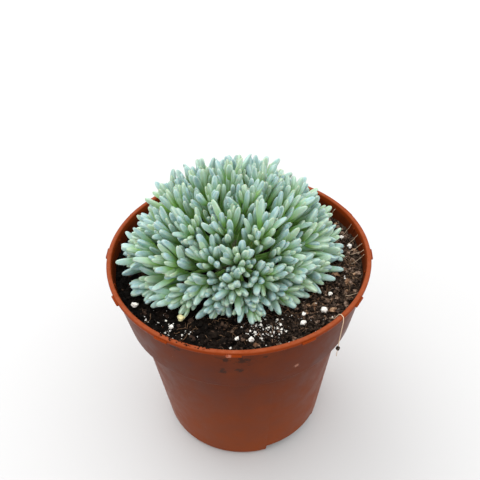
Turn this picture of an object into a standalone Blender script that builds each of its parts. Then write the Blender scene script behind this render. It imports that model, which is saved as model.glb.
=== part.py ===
"""Potted ice plant: a cushion of finger-leaved shoots on a short woody crown, in a plastic nursery pot of potting soil.

Metres, +Z up, the origin at the centre of the pot's underside. The front of the plant faces -Y.
"""

import math

import bmesh
import bpy
import numpy as np
from mathutils import Matrix, Vector, noise

# Pot: a thin moulded shell with a lip, a tall collar, a step, a tapering body and a foot ring
POT_HEIGHT = 0.0900
WALL = 0.0010
LIP_RADIUS = 0.0525
LIP_HEIGHT = 0.0018
LIP_INNER_RADIUS = 0.0507
LIP_ROUNDING = 0.0004
COLLAR_TOP_RADIUS = 0.0515
COLLAR_FOOT_RADIUS = 0.0470
COLLAR_HEIGHT = 0.0257
STEP_DROP = 0.0006
BODY_TOP_RADIUS = 0.0432
BODY_FOOT_RADIUS = 0.0345
FOOT_ROUNDING = 0.0022
FOOT_RING_WIDTH = 0.0020
FLOOR_RAISE = 0.0058
FLOOR_THICKNESS = 0.0014
POT_STEPS = 36
CREASE = math.radians(50)

# Small tabs under the lip, short ribs inside it, wide notches in the foot ring and drain holes in the floor
TABS = 12
TAB_TURN = math.radians(-3)
TAB_SIZE = (0.0022, 0.0056, 0.0010)
TAB_REACH = 0.0006
RIB_TURN = math.radians(16.5)
RIB_SIZE = (0.0006, 0.0008, 0.0050)
RIB_REACH = 0.0005
NOTCHES = 2
NOTCH_TURN = math.radians(-51)
NOTCH_SPAN = math.radians(48)
NOTCH_HEIGHT = 0.0052
DRAIN_HOLES = 6
DRAIN_RADIUS = 0.0028
DRAIN_CIRCLE_RADIUS = 0.0210

# Soil: fills the pot to a few millimetres under the lip, a little dished, with a crumbly top
SOIL_TOP = 0.0818
SOIL_RISE = 0.0025
SOIL_GAP = 0.0003
SOIL_RINGS = 7
SOIL_STEPS = 36
CRUMB_HEIGHT = 0.0008
CRUMB_SIZE = 0.0060

# Loose grains on the soil: east, north and width of each
PERLITE_GRAINS = (
    (-0.0400, -0.0232, 0.0032),
    (-0.0257, -0.0345, 0.0024),
    (-0.0016, -0.0412, 0.0021),
    (0.0036, -0.0420, 0.0028),
    (0.0231, -0.0345, 0.0025),
    (0.0236, -0.0300, 0.0021),
    (0.0312, -0.0290, 0.0033),
    (0.0346, -0.0200, 0.0022),
    (0.0455, 0.0065, 0.0027),
    (0.0430, 0.0125, 0.0024),
)
PUMICE_GRAIN = (-0.0222, -0.0302, 0.0038)
GRAIN_SQUASH = 0.75
# Start of the vector noise that roughens the grains; without it Blender takes the clock's second
GRAIN_SEED = 1795642241

# Plant: its heart is the point in the crown that every shoot points away from
HEART = Vector((-0.0020, 0.0010, 0.0840))
CROWN_RADIUS = 0.0087
CROWN_GAP = 0.0003
ROOT_RADIUS = 0.0030
ROOT_DEPTH = 0.0180
ROOT_HOLE_GAP = 0.0003
CROWN_STEPS = 16

SEED = 11
SHOOTS = 46
LOWEST_SHOOT = math.radians(8)
GOLDEN_ANGLE = math.radians(137.508)
AXIS_DRAW = 0.060
SHOOT_SPACING = 0.50
CREST_RADIUS = 0.0435
SKIRT_RADIUS = 0.0465
SHOULDER_DIP = 0.0020
FRONT_DIP = 0.0102
FRONT_TURN = math.radians(-82)
FRONT_EDGES = (0.05, 0.72)

# Leaves: opposite pairs, each turned a quarter from the last, oldest first
LEAVES = 8
LEAF_RADIUS = 0.00172
LEAF_RADIUS_DRAW = 0.00022
LEAF_GAP = 0.0001
OLDEST_LEAF_REACH = 0.0150
YOUNGEST_LEAF_REACH = 0.0090
OLDEST_LEAF_SPREAD = math.radians(11)
YOUNGEST_LEAF_SPREAD = math.radians(2)
TIP_SPACING = 0.0060
TIP_DRAW = 0.0011
SPREADING_ROUNDS = 60
LEAF_SIDES = 5
LEAF_STATIONS = ((0.0, 0.50), (0.86, 1.0), (1.0, 0.0))
ROOT_OFFSET = 0.0008

# Core of a shoot: its stem and its crowded leaf bases, which swell together below the leaves' free ends
CORE_SIDES = 6
CORE_RADIUS = 0.0046
CORE_DEPTH = 0.0072
CORE_GAP = 0.0003
CORE_STATIONS = ((0.0, 0.22), (0.60, 0.86), (0.86, 1.0), (1.0, 0.55))


def clear_scene():
    for obj in list(bpy.data.objects):
        bpy.data.objects.remove(obj)
    parts = bpy.data.collections.new("potted_ice_plant")
    bpy.context.scene.collection.children.link(parts)
    return parts


def finish(name, colour, roughness):
    material = bpy.data.materials.new(name)
    material.use_nodes = True
    shader = material.node_tree.nodes["Principled BSDF"]
    shader.inputs["Base Color"].default_value = (*colour, 1.0)
    shader.inputs["Roughness"].default_value = roughness
    return material


def place(name, mesh, group, material=None):
    """One object in the parts' collection or in a working group."""
    obj = bpy.data.objects.new(name, mesh)
    if material:
        mesh.materials.append(material)
    group.objects.link(obj)
    return obj


def shade_round(obj, crease):
    """Smooth shading, with the edges sharper than the crease kept sharp."""
    obj.data.shade_smooth()
    obj.data.set_sharp_from_angle(angle=crease)


def mesh_of(bm, name):
    mesh = bpy.data.meshes.new(name)
    bm.to_mesh(mesh)
    bm.free()
    return mesh


def apply_modifiers(obj):
    """Keeps the object's evaluated mesh and drops its modifiers."""
    graph = bpy.context.evaluated_depsgraph_get()
    mesh = bpy.data.meshes.new_from_object(obj.evaluated_get(graph))
    obj.modifiers.clear()
    obj.data = mesh
    return obj


def combine(body, group, operation):
    """Joins a working group of closed pieces to the body, or cuts them out of it, and removes the group."""
    boolean = body.modifiers.new(operation.lower(), "BOOLEAN")
    boolean.operation = operation
    boolean.solver = "MANIFOLD"
    boolean.operand_type = "COLLECTION"
    boolean.collection = group
    apply_modifiers(body)
    for piece in list(group.objects):
        bpy.data.objects.remove(piece)
    bpy.data.collections.remove(group)
    return body


def working_group(name):
    group = bpy.data.collections.new(name)
    bpy.context.scene.collection.children.link(group)
    return group


def turned(name, profile, steps, group, material):
    """A closed shape turned about Z from a profile of (radius, height) that starts and ends on the axis."""
    bm = bmesh.new()
    points = [bm.verts.new((radius, 0.0, height)) for radius, height in profile]
    for first, second in zip(points, points[1:]):
        bm.edges.new((first, second))
    obj = place(name, mesh_of(bm, name), group, material)
    screw = obj.modifiers.new("turn", "SCREW")
    screw.angle = math.tau
    screw.steps = screw.render_steps = steps
    screw.use_merge_vertices = True
    screw.merge_threshold = 1e-6
    apply_modifiers(obj)
    bm = bmesh.new()
    bm.from_mesh(obj.data)
    bmesh.ops.remove_doubles(bm, verts=bm.verts, dist=1e-6)
    bmesh.ops.dissolve_degenerate(bm, dist=1e-7, edges=bm.edges)
    bmesh.ops.recalc_face_normals(bm, faces=bm.faces)
    bm.to_mesh(obj.data)
    bm.free()
    return obj


def block(name, size, matrix, group):
    """A box of that size, placed by a matrix."""
    bm = bmesh.new()
    bmesh.ops.create_cube(bm, size=1.0, matrix=matrix @ Matrix.Diagonal((*size, 1.0)))
    return place(name, mesh_of(bm, name), group)


def round_bar(name, radius, low, high, centre, sides, group):
    """An upright cylinder between two heights."""
    middle = Matrix.Translation((centre[0], centre[1], (low + high) / 2))
    bm = bmesh.new()
    bmesh.ops.create_cone(
        bm, cap_ends=True, segments=sides, radius1=radius, radius2=radius, depth=high - low, matrix=middle
    )
    return place(name, mesh_of(bm, name), group)


def around(turn, radius, height):
    """A frame on a circle about the pot's axis, its X pointing outwards."""
    return Matrix.Rotation(turn, 4, "Z") @ Matrix.Translation((radius, 0.0, height))


def collar_radius(height):
    """The collar's outer radius at a height."""
    top = POT_HEIGHT - LIP_HEIGHT
    foot = POT_HEIGHT - COLLAR_HEIGHT
    share = (height - foot) / (top - foot)
    return COLLAR_FOOT_RADIUS + share * (COLLAR_TOP_RADIUS - COLLAR_FOOT_RADIUS)


SOIL_EDGE = collar_radius(SOIL_TOP + SOIL_RISE) - WALL - SOIL_GAP


def body_radius(height):
    """The body's outer radius at a height."""
    share = height / (POT_HEIGHT - COLLAR_HEIGHT)
    return BODY_FOOT_RADIUS + share * (BODY_TOP_RADIUS - BODY_FOOT_RADIUS)


def pot_profile():
    """Up the inside, over the lip, down the outside and in under the floor."""
    step = POT_HEIGHT - COLLAR_HEIGHT
    floor = FLOOR_RAISE + FLOOR_THICKNESS
    lip_foot = POT_HEIGHT - LIP_HEIGHT
    return (
        (0.0, floor),
        (body_radius(floor) - WALL, floor),
        (BODY_TOP_RADIUS - WALL, step + WALL - STEP_DROP),
        (COLLAR_FOOT_RADIUS - WALL, step + WALL),
        (COLLAR_TOP_RADIUS - WALL, lip_foot),
        (LIP_INNER_RADIUS, POT_HEIGHT),
        (LIP_RADIUS - LIP_ROUNDING, POT_HEIGHT),
        (LIP_RADIUS, POT_HEIGHT - LIP_ROUNDING),
        (LIP_RADIUS, lip_foot + LIP_ROUNDING),
        (COLLAR_TOP_RADIUS, lip_foot),
        (COLLAR_FOOT_RADIUS, step),
        (BODY_TOP_RADIUS, step - STEP_DROP),
        (body_radius(FOOT_ROUNDING), FOOT_ROUNDING),
        (BODY_FOOT_RADIUS - FOOT_ROUNDING / 2, 0.0),
        (BODY_FOOT_RADIUS - FOOT_ROUNDING / 2 - FOOT_RING_WIDTH, 0.0),
        (BODY_FOOT_RADIUS - FOOT_ROUNDING / 2 - FOOT_RING_WIDTH, FLOOR_RAISE),
        (0.0, FLOOR_RAISE),
    )


def make_pot(parts):
    pot = turned("pot", pot_profile(), POT_STEPS, parts, finish("pot_plastic", (0.30, 0.085, 0.040), 0.45))
    raised = working_group("raised")
    lip_foot = POT_HEIGHT - LIP_HEIGHT
    for k in range(TABS):
        turn = k * math.tau / TABS
        tab_middle = LIP_RADIUS + TAB_REACH - TAB_SIZE[0] / 2
        block("tab", TAB_SIZE, around(turn + TAB_TURN, tab_middle, lip_foot + TAB_SIZE[2] / 2), raised)
        rib_middle = COLLAR_TOP_RADIUS - WALL - RIB_REACH + RIB_SIZE[0] / 2
        rib_height = POT_HEIGHT - LIP_HEIGHT - RIB_SIZE[2] / 2
        block("rib", RIB_SIZE, around(turn + RIB_TURN, rib_middle, rib_height), raised)
    combine(pot, raised, "UNION")

    cut = working_group("cut")
    floor_middle = FLOOR_RAISE + FLOOR_THICKNESS / 2
    drain_low = floor_middle - FLOOR_THICKNESS
    drain_high = floor_middle + FLOOR_THICKNESS
    for k in range(DRAIN_HOLES):
        centre = around(k * math.tau / DRAIN_HOLES, DRAIN_CIRCLE_RADIUS, 0.0).translation
        round_bar("drain", DRAIN_RADIUS, drain_low, drain_high, centre, 10, cut)
    round_bar("drain", DRAIN_RADIUS, drain_low, drain_high, (0.0, 0.0), 10, cut)
    notch_depth = 3 * FOOT_RING_WIDTH
    notch_width = 2 * BODY_FOOT_RADIUS * math.sin(NOTCH_SPAN / 2)
    for k in range(NOTCHES):
        matrix = around(NOTCH_TURN + k * math.tau / NOTCHES, BODY_FOOT_RADIUS - FOOT_RING_WIDTH, 0.0)
        block("notch", (notch_depth, notch_width, 2 * NOTCH_HEIGHT), matrix, cut)
    combine(pot, cut, "DIFFERENCE")
    shade_round(pot, CREASE)


def soil_level(away):
    """Height of the soil at a distance from the pot's axis, its crumbs left out."""
    return SOIL_TOP + SOIL_RISE * (away / SOIL_EDGE) ** 2


def soil_relief(east, north):
    """How far the soil's crumbs stand above or below its level. It is flat where the crown rests."""
    crumbs = noise.noise(Vector((east / CRUMB_SIZE, north / CRUMB_SIZE, 0.0)))
    fine = noise.noise(Vector((east / CRUMB_SIZE, north / CRUMB_SIZE, 7.0)) * 2.3)
    away = math.hypot(east - HEART.x, north - HEART.y)
    share = min(1.0, max(0.0, away / CROWN_RADIUS - 1.3))
    return CRUMB_HEIGHT * share * max(-1.0, min(1.0, 1.2 * crumbs + 0.6 * fine))


def make_soil(parts):
    step = POT_HEIGHT - COLLAR_HEIGHT
    floor = FLOOR_RAISE + FLOOR_THICKNESS + SOIL_GAP
    inside = WALL + SOIL_GAP
    ring_radii = [SOIL_EDGE * k / SOIL_RINGS for k in range(SOIL_RINGS + 1)]
    rings = [(radius, soil_level(radius)) for radius in ring_radii]
    profile = rings + [
        (COLLAR_FOOT_RADIUS - inside, step + WALL + SOIL_GAP),
        (BODY_TOP_RADIUS - inside, step + WALL - STEP_DROP + SOIL_GAP),
        (body_radius(floor) - inside, floor),
        (0.0, floor),
    ]
    soil = turned("soil", profile, SOIL_STEPS, parts, finish("potting_soil", (0.022, 0.015, 0.010), 0.95))
    for vertex in soil.data.vertices:
        if vertex.co.z > SOIL_TOP - 1e-6 and vertex.co.xy.length < SOIL_EDGE - 1e-6:
            vertex.co.z += soil_relief(vertex.co.x, vertex.co.y)
    hole = working_group("hole")
    round_bar(
        "root_hole",
        ROOT_RADIUS + ROOT_HOLE_GAP,
        SOIL_TOP - ROOT_DEPTH - ROOT_HOLE_GAP,
        SOIL_TOP + CROWN_RADIUS,
        HEART,
        CROWN_STEPS,
        hole,
    )
    return combine(soil, hole, "DIFFERENCE")


def make_grain(name, spot, soil, parts, material):
    """An angular grain, lowered until it lies on the soil's crumbs."""
    east, north, width = spot
    bm = bmesh.new()
    bmesh.ops.create_icosphere(bm, subdivisions=1, radius=width / 2)
    for vertex in bm.verts:
        draw = noise.noise_vector(Vector((east, north, 0.0)) * 900 + vertex.co * 800)
        vertex.co += draw * width * 0.16
        vertex.co.z *= GRAIN_SQUASH
    bmesh.ops.translate(bm, verts=bm.verts, vec=(east, north, POT_HEIGHT))
    drops = []
    for vertex in bm.verts:
        hit, below, _, _ = soil.ray_cast(vertex.co, (0.0, 0.0, -1.0))
        if hit:
            drops.append(vertex.co.z - below.z)
    bmesh.ops.translate(bm, verts=bm.verts, vec=(0.0, 0.0, SOIL_GAP - min(drops)))
    return place(name, mesh_of(bm, name), parts, material)


def make_crown(parts):
    """The woody crown: a low round head that the shoots grow from, and a short root below it."""
    foot = SOIL_TOP + CROWN_GAP - HEART.z
    lowest_angle = math.asin(foot / CROWN_RADIUS)
    angles = [math.radians(90) + k / 6 * (lowest_angle - math.radians(90)) for k in range(7)]
    head = [(CROWN_RADIUS * math.cos(angle), CROWN_RADIUS * math.sin(angle)) for angle in angles]
    head[0] = (0.0, CROWN_RADIUS)
    root = [(ROOT_RADIUS, foot), (ROOT_RADIUS * 0.7, foot - ROOT_DEPTH * 0.8), (0.0, foot - ROOT_DEPTH)]
    crown = turned("crown", head + root, CROWN_STEPS, parts, finish("crown_bark", (0.16, 0.10, 0.06), 0.85))
    crown.data.transform(Matrix.Translation(HEART))
    shade_round(crown, CREASE)


def spread_apart(points, spacing):
    """Pushes points that are nearer than the spacing a little away from each other."""
    apart = points[:, None] - points[None]
    distance = np.linalg.norm(apart, axis=2)
    np.fill_diagonal(distance, 1.0)
    push = np.clip(spacing - distance, 0, None) / distance
    return points + 0.25 * (push[..., None] * apart).sum(axis=1)


def shoot_axes(rng):
    """Unit directions of the shoots: a golden-angle spiral from the crest to the skirt, each a little off it."""
    count = np.arange(SHOOTS) + 0.5
    sine = 1 - count / SHOOTS * (1 - math.sin(LOWEST_SHOOT))
    cosine = np.sqrt(1 - sine**2)
    turn = count * GOLDEN_ANGLE
    axes = np.stack([cosine * np.cos(turn), cosine * np.sin(turn), sine], axis=1)
    axes += rng.normal(0, AXIS_DRAW, axes.shape)
    for _ in range(SPREADING_ROUNDS):
        axes = spread_apart(axes, SHOOT_SPACING)
        axes[:, 2] = np.maximum(axes[:, 2], math.sin(LOWEST_SHOOT))
        axes /= np.linalg.norm(axes, axis=1, keepdims=True)
    return axes


def cushion_radius(points):
    """Distance from the heart to the leaf tips in the points' directions."""
    length = np.linalg.norm(points, axis=-1)
    sine = points[..., 2] / length
    cosine = np.sqrt(np.clip(1 - sine**2, 1e-9, 1))
    facing = (points[..., 0] * math.cos(FRONT_TURN) + points[..., 1] * math.sin(FRONT_TURN)) / length / cosine
    ramp = np.clip((facing - FRONT_EDGES[0]) / (FRONT_EDGES[1] - FRONT_EDGES[0]), 0, 1)
    front = ramp**2 * (3 - 2 * ramp)
    radius = CREST_RADIUS * sine**2 + (SKIRT_RADIUS - FRONT_DIP * front) * cosine**2
    return radius - SHOULDER_DIP * 2 * np.abs(sine) * cosine


def inside_share(points, axes, margin):
    """Moves points back into their own shoot's share of the cushion, the soil's surface and the pot's wall kept clear."""
    between = axes[None, :, :] - axes[:, None, :]
    length = np.linalg.norm(between, axis=2, keepdims=True)
    normals = between / np.where(length > 0, length, 1)
    for _ in range(6):
        beyond = np.einsum("slk,sok->slo", points, normals) + margin
        beyond[np.arange(len(axes)), :, np.arange(len(axes))] = -1
        worst = beyond.argmax(axis=2)
        excess = np.clip(np.take_along_axis(beyond, worst[:, :, None], axis=2), 0, None)
        points = points - excess * normals[np.arange(len(axes))[:, None], worst]
        flat = points[..., :2] + np.array(HEART.xy)
        away = np.linalg.norm(flat, axis=-1, keepdims=True)
        ground = soil_level(away[..., 0]) + CRUMB_HEIGHT + margin - HEART.z
        points[..., 2] = np.maximum(points[..., 2], ground)
        wall = COLLAR_TOP_RADIUS - WALL - RIB_REACH - margin
        points[..., :2] = flat * np.minimum(1, wall / away) - np.array(HEART.xy)
    return points


def leaf_tips(axes, rng):
    """Tips of every leaf from the heart, spread until they stand evenly over the cushion."""
    pair = np.arange(LEAVES) // 2
    age = pair / pair.max()
    spread = OLDEST_LEAF_SPREAD + age * (YOUNGEST_LEAF_SPREAD - OLDEST_LEAF_SPREAD)
    turn = pair * math.pi / 2 + (np.arange(LEAVES) % 2) * math.pi
    turn = turn[None, :] + rng.uniform(0, math.pi, (SHOOTS, 1)) + rng.normal(0, 0.25, (SHOOTS, LEAVES))
    side = np.cross(axes, [0.31, 0.17, 0.94])
    side /= np.linalg.norm(side, axis=1, keepdims=True)
    other = np.cross(axes, side)
    outward = np.cos(turn)[..., None] * side[:, None] + np.sin(turn)[..., None] * other[:, None]
    ray = np.cos(spread)[None, :, None] * axes[:, None] + np.sin(spread)[None, :, None] * outward
    tips = ray * cushion_radius(ray)[..., None]
    margin = LEAF_RADIUS + LEAF_RADIUS_DRAW + LEAF_GAP
    for _ in range(SPREADING_ROUNDS):
        tips = spread_apart(tips.reshape(-1, 3), TIP_SPACING).reshape(tips.shape)
        tips *= (cushion_radius(tips) / np.linalg.norm(tips, axis=2))[..., None]
        tips = inside_share(tips, axes, margin)
    tips *= 1 + rng.uniform(-1, 0.4, (SHOOTS, LEAVES, 1)) * TIP_DRAW / CREST_RADIUS
    for _ in range(8):
        tips = inside_share(tips, axes, margin)
    return tips


def leaf_plan():
    """For each shoot, its axis, its core's end and, for each leaf, three points of its bow and its radius."""
    rng = np.random.default_rng(SEED)
    axes = shoot_axes(rng)
    tips = leaf_tips(axes, rng)
    along = np.einsum("slk,sk->sl", tips, axes)
    reach = np.linspace(OLDEST_LEAF_REACH, YOUNGEST_LEAF_REACH, LEAVES)
    middles = along[..., None] * axes[:, None]
    sway = tips - middles
    side = sway / np.linalg.norm(sway, axis=2, keepdims=True)
    roots = (along - reach)[..., None] * axes[:, None] + ROOT_OFFSET * side
    bends = roots + 0.42 * (middles - roots) + 0.72 * sway
    margin = LEAF_RADIUS + LEAF_RADIUS_DRAW + LEAF_GAP
    for _ in range(3):
        bends = inside_share(bends, axes, margin)
    radii = LEAF_RADIUS + rng.uniform(-1.6, 1, (SHOOTS, LEAVES)) * LEAF_RADIUS_DRAW
    core_ends = along.mean(axis=1) - CORE_DEPTH
    return axes, core_ends, np.stack([roots, bends, tips], axis=2), radii


def core_radius(axes, index, core_end):
    """The widest that a shoot's core can be beside its neighbours and above the soil."""
    widest = CORE_STATIONS[2][0] * core_end
    nearest = min(math.acos(min(1.0, axes[index] @ other)) for k, other in enumerate(axes) if k != index)
    beside = widest * math.sin(nearest / 2) - CORE_GAP / 2
    tilt = math.sqrt(1 - axes[index][2] ** 2)
    ground = soil_level(widest * tilt + CORE_RADIUS) + CRUMB_HEIGHT
    above = (HEART.z + widest * axes[index][2] - ground - CORE_GAP) / tilt
    return min(CORE_RADIUS, beside, above)


def bow(points, share):
    """The point and the direction at a share of the way along a bow of three points."""
    first, middle, last = (Vector(point) for point in points)
    place_there = (1 - share) ** 2 * first + 2 * share * (1 - share) * middle + share**2 * last
    direction = (1 - share) * (middle - first) + share * (last - middle)
    return place_there, direction.normalized()


def finger(points, radius, stations, sides):
    """A finger grown from a small ring: its end is pushed out along the bow, station by station, to a point."""
    bm = bmesh.new()
    bmesh.ops.create_circle(bm, cap_ends=True, segments=sides, radius=1.0)
    foot = end = bm.faces[:][0]
    before = Matrix.Identity(4)
    turn = None
    heading = None
    for share, width in stations:
        centre, direction = bow(points, share)
        turn = direction.to_track_quat("Z", "Y") if turn is None else heading.rotation_difference(direction) @ turn
        heading = direction
        there = Matrix.LocRotScale(centre, turn, (max(width, 1e-3) * radius,) * 3)
        ring = list(end.verts)
        if share > stations[0][0]:
            grown = bmesh.ops.extrude_face_region(bm, geom=[end])["geom"]
            if end != foot:
                bmesh.ops.delete(bm, geom=[end], context="FACES_ONLY")
            end = next(part for part in grown if isinstance(part, bmesh.types.BMFace))
            ring = list(end.verts)
        bmesh.ops.transform(bm, matrix=there @ before.inverted(), verts=ring)
        before = there
    if stations[-1][1] == 0:
        bmesh.ops.pointmerge(bm, verts=ring, merge_co=before.translation)
    bmesh.ops.recalc_face_normals(bm, faces=bm.faces)
    bmesh.ops.translate(bm, verts=bm.verts, vec=HEART)
    return bm


def make_shoots(parts):
    """One solid for each shoot: its core with its leaves grown from it."""
    material = finish("leaf_skin", (0.27, 0.42, 0.36), 0.55)
    axes, core_ends, leaves, radii = leaf_plan()
    for index, (axis, core_end) in enumerate(zip(axes, core_ends)):
        foot = (CROWN_RADIUS + CROWN_GAP) * axis
        core_points = (foot, (foot + core_end * axis) / 2, core_end * axis)
        radius = core_radius(axes, index, core_end)
        name = f"shoot_{index + 1:02d}"
        core = finger(core_points, radius, CORE_STATIONS, CORE_SIDES)
        shoot = place(name, mesh_of(core, name), parts, material)
        fingers = working_group("fingers")
        for points, width in zip(leaves[index], radii[index]):
            leaf = finger(points, width, LEAF_STATIONS, LEAF_SIDES)
            place("leaf", mesh_of(leaf, "leaf"), fingers)
        combine(shoot, fingers, "UNION")
        shade_round(shoot, CREASE)


def main():
    parts = clear_scene()
    make_pot(parts)
    soil = make_soil(parts)
    make_crown(parts)
    make_shoots(parts)
    noise.seed_set(GRAIN_SEED)
    perlite = finish("perlite", (0.78, 0.76, 0.72), 0.9)
    for index, spot in enumerate(PERLITE_GRAINS):
        make_grain(f"perlite_{index + 1:02d}", spot, soil, parts, perlite)
    make_grain("pumice", PUMICE_GRAIN, soil, parts, finish("pumice", (0.70, 0.66, 0.42), 0.9))


main()
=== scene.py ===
# %% [markdown]
# # A potted ice plant
# This lesson dresses a small succulent in its plastic nursery pot: a cushion of blue-green finger leaves
# over dark potting soil. The solids of the pot, the soil, the crown, every leafy shoot and every large
# grain are loaded first as a fixed frame. Each step then makes the finer piece that stands in a solid's
# place, or adds small things that the solids leave out.

import math

import bmesh
import bpy
import numpy as np
from mathutils import Matrix, Vector, noise


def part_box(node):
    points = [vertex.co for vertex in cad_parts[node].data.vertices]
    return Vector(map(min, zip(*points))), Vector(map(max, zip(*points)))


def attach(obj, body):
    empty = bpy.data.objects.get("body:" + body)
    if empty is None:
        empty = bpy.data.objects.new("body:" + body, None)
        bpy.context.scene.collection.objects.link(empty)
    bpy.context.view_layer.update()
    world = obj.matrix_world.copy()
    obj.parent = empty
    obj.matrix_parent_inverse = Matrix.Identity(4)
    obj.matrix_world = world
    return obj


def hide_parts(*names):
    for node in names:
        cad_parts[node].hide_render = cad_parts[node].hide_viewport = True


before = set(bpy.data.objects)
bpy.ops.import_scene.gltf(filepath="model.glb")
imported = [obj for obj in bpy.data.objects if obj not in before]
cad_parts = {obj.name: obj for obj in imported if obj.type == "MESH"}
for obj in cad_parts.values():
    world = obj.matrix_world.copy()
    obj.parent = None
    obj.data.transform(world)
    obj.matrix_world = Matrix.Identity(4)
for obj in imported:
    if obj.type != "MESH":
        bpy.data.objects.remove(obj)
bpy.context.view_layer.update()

# %% [markdown]
# ## Small helpers
# Colours are written as the hex values that a picture editor shows, and one function turns them into the
# linear light values that a shader works with. A second function adds a shader node with its settings and
# links, a third starts a material, and a fourth turns a finished bmesh into a piece that rides with the
# frame.

# %% Colours, nodes and pieces
def paint(hex_value):
    """A hex colour as linear light."""
    channels = [int(hex_value[k : k + 2], 16) / 255 for k in (1, 3, 5)]
    linear = [c / 12.92 if c <= 0.04045 else ((c + 0.055) / 1.055) ** 2.4 for c in channels]
    return (*linear, 1.0)


def add(tree, kind, inputs=None, **settings):
    """One node, its settings, and its inputs as values or as links from other nodes' sockets."""
    made = tree.nodes.new(kind)
    for name, value in settings.items():
        setattr(made, name, value)
    for key, value in (inputs or {}).items():
        if isinstance(value, bpy.types.NodeSocket):
            tree.links.new(value, made.inputs[key])
        else:
            made.inputs[key].default_value = value
    return made


def start_material(name, **shader_values):
    """A material with its tree, its shader and its object coordinates."""
    material = bpy.data.materials.new(name)
    material.use_nodes = True
    tree = material.node_tree
    shader = tree.nodes["Principled BSDF"]
    for socket, value in shader_values.items():
        shader.inputs[socket.replace("_", " ")].default_value = value
    place = add(tree, "ShaderNodeTexCoord").outputs["Object"]
    return material, tree, shader, place


def finish_piece(name, bm, materials, stands_for=(), smooth=True):
    """The bmesh as an object of the scene that rides with the root body."""
    mesh = bpy.data.meshes.new(name)
    bm.to_mesh(mesh)
    bm.free()
    for material in materials:
        mesh.materials.append(material)
    if smooth:
        mesh.shade_smooth()
    piece = bpy.data.objects.new(name, mesh)
    bpy.context.scene.collection.objects.link(piece)
    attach(piece, "root")
    if stands_for:
        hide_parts(*stands_for)
    return piece


# %% [markdown]
# ## Floor, light and camera
# The plant stands on a plain pale floor under a bright sky, brighter overhead, with one large soft lamp
# above and behind it. That gives the soft shadow in front of the pot. The camera looks down by 41
# degrees from about 30 cm away, and is rolled by 2 degrees.

# %% Camera
CAMERA_PLACE = Vector((0.00074, -0.21872, 0.28728))
CAMERA_PITCH = math.radians(41.16)
CAMERA_ROLL = math.radians(-1.88)
CAMERA_LENS = 55.42
CAMERA_SENSOR = 36.0
NEAREST_SEEN = 0.01
PLANT_MIDDLE = Vector((0.0, 0.0, 0.08))

camera_data = bpy.data.cameras.new("camera")
camera_data.lens = CAMERA_LENS
camera_data.sensor_width = CAMERA_SENSOR
camera_data.clip_start = NEAREST_SEEN
camera = bpy.data.objects.new("camera", camera_data)
bpy.context.scene.collection.objects.link(camera)
tilt = Matrix.Rotation(math.radians(90) - CAMERA_PITCH, 4, "X") @ Matrix.Rotation(CAMERA_ROLL, 4, "Z")
camera.matrix_world = Matrix.Translation(CAMERA_PLACE) @ tilt
bpy.context.scene.camera = camera
print("camera to plant, m:", round((CAMERA_PLACE - PLANT_MIDDLE).length, 3))

# %% Floor and light
FLOOR_SIZE = 6.0
SKY_AT_HORIZON = 1.18
SKY_OVERHEAD = 2.14
LAMP_POWER = 4.0
LAMP_SIZE = 0.9
LAMP_PLACE = Vector((-0.40, 0.50, 0.90))

bpy.context.scene.view_settings.view_transform = "Standard"
sky = bpy.data.worlds.new("sky")
bpy.context.scene.world = sky
sky.use_nodes = True
direction = add(sky.node_tree, "ShaderNodeTexCoord").outputs["Generated"]
direction_parts = add(sky.node_tree, "ShaderNodeSeparateXYZ", {"Vector": direction})
brightness = add(
    sky.node_tree,
    "ShaderNodeMapRange",
    {"Value": direction_parts.outputs["Z"], "To Min": SKY_AT_HORIZON, "To Max": SKY_OVERHEAD},
)
background = sky.node_tree.nodes["Background"]
background.inputs["Color"].default_value = (1.0, 1.0, 1.0, 1.0)
sky.node_tree.links.new(brightness.outputs["Result"], background.inputs["Strength"])

floor_bm = bmesh.new()
bmesh.ops.create_grid(floor_bm, x_segments=1, y_segments=1, size=FLOOR_SIZE / 2)
floor_mesh = bpy.data.meshes.new("floor")
floor_bm.to_mesh(floor_mesh)
floor_bm.free()
floor = bpy.data.objects.new("floor", floor_mesh)
floor_paper, _, _, _ = start_material("floor_paper", Base_Color=paint("#bcbcbc"), Roughness=0.95)
floor_mesh.materials.append(floor_paper)
bpy.context.scene.collection.objects.link(floor)

lamp_data = bpy.data.lights.new("lamp", "AREA")
lamp_data.shape = "DISK"
lamp_data.size = LAMP_SIZE
lamp_data.energy = LAMP_POWER
lamp = bpy.data.objects.new("lamp", lamp_data)
lamp.location = LAMP_PLACE
lamp.rotation_euler = (PLANT_MIDDLE - LAMP_PLACE).to_track_quat("-Z", "Y").to_euler()
bpy.context.scene.collection.objects.link(lamp)

# %% [markdown]
# ## The pot
# A small nursery pot is injection moulded from polypropylene: a thin wall with a lip, a tall collar that
# lets pots stack, a step, and a tapering body that stands on a ring. It could be modelled from a cylinder
# by insets, but every height and radius is a turned profile, so the profile is drawn once and spun.

# %% Pot sizes
POT_HEIGHT = 0.0900
WALL = 0.0010
LIP_RADIUS = 0.0525
LIP_HEIGHT = 0.0018
LIP_INNER_RADIUS = 0.0507
LIP_ROUNDING = 0.0005
COLLAR_TOP_RADIUS = 0.0515
COLLAR_FOOT_RADIUS = 0.0470
COLLAR_HEIGHT = 0.0257
STEP_HEIGHT = POT_HEIGHT - COLLAR_HEIGHT
STEP_DROP = 0.0006
STEP_ROUNDING = 0.0005
CORNER_ROUNDING = 0.0008
BODY_TOP_RADIUS = 0.0432
BODY_FOOT_RADIUS = 0.0345
FOOT_ROUNDING = 0.0022
FOOT_RING_WIDTH = 0.0020
FLOOR_RAISE = 0.0058
FLOOR_THICKNESS = 0.0014
POT_STEPS = 192
TABS = 12
TAB_TURN = math.radians(-3)
TAB_SIZE = (0.0022, 0.0056, 0.0010)
TAB_REACH = 0.0006
TAB_ROUNDING = 0.0003
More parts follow.
